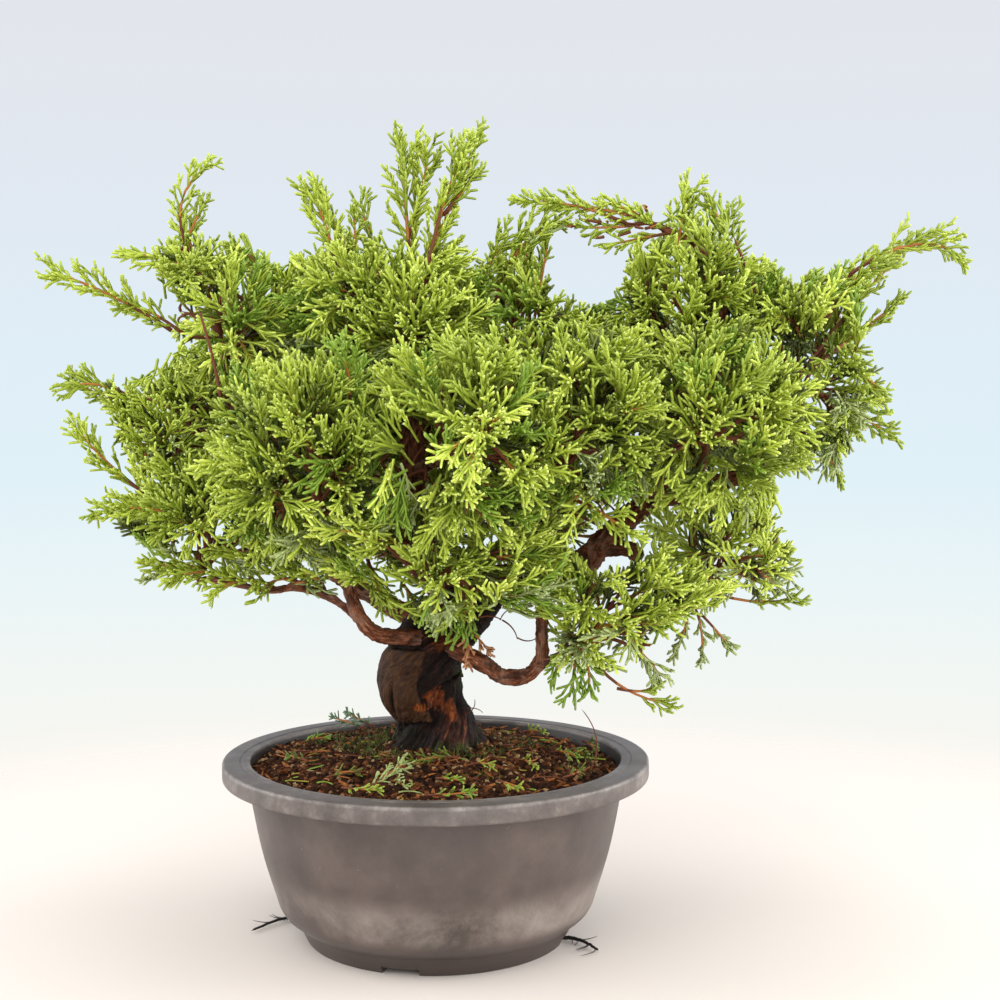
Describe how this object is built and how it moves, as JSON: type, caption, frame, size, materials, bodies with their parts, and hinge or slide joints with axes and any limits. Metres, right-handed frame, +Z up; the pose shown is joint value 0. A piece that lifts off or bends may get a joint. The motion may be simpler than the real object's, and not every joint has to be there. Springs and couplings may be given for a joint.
{
  "type": "itoigawa chinese juniper bonsai in a pot",
  "caption": "Itoigawa Chinese juniper bonsai, informal upright, with a leaning trunk and full scale-leaf foliage, in a round dark grey training pot.",
  "frame": {"origin": "middle of the bottom of the bounding box, on the surface that the pot's foot stands on", "axes": "+Z up, the front of the tree looks along -Y, +X to the right seen from the front"},
  "size_m": [0.4342, 0.2572, 0.376],
  "materials": {
    "pot": "matt dark grey plastic, scuffed",
    "soil": "rough",
    "bark": "rough flaking bark",
    "root": "rough",
    "foliage": "matt scale leaves"
  },
  "bodies": {
    "root": {"pot": "pot", "soil": "soil", "trunk": "bark", "right_bough": "bark", "centre_leader": "bark", "left_bough": "bark", "left_front_bough": "bark", "low_right_bough": "bark", "centre_low_bough": "bark", "back_low_bough": "bark", "centre_front_bough": "bark", "back_centre_bough": "bark", "centre_right_bough": "bark", "inner_left_bough": "bark", "inner_right_bough": "bark", "back_left_bough": "bark", "left_mid_bough": "bark", "left_low_bough": "bark", "low_right_riser": "bark", "low_right_shoot": "bark", "right_top_bough": "bark", "arching_bough": "bark", "right_front_bough": "bark", "right_low_bough": "bark", "back_right_bough": "bark", "cut_stub": "bark", "left_top_foliage": "foliage", "left_middle_foliage": "foliage", "left_low_foliage": "foliage", "front_left_foliage": "foliage", "top_centre_foliage": "foliage", "front_centre_foliage": "foliage", "front_low_foliage": "foliage", "centre_right_foliage": "foliage", "arching_foliage": "foliage", "front_right_foliage": "foliage", "low_right_foliage": "foliage", "right_top_foliage": "foliage", "right_front_foliage": "foliage", "right_far_foliage": "foliage", "right_low_foliage": "foliage", "inner_left_foliage": "foliage", "inner_right_foliage": "foliage", "back_left_foliage": "foliage", "back_centre_foliage": "foliage", "back_right_foliage": "foliage", "back_low_foliage": "foliage", "left_root": "root", "right_root": "root"}
  },
  "joints": []
}
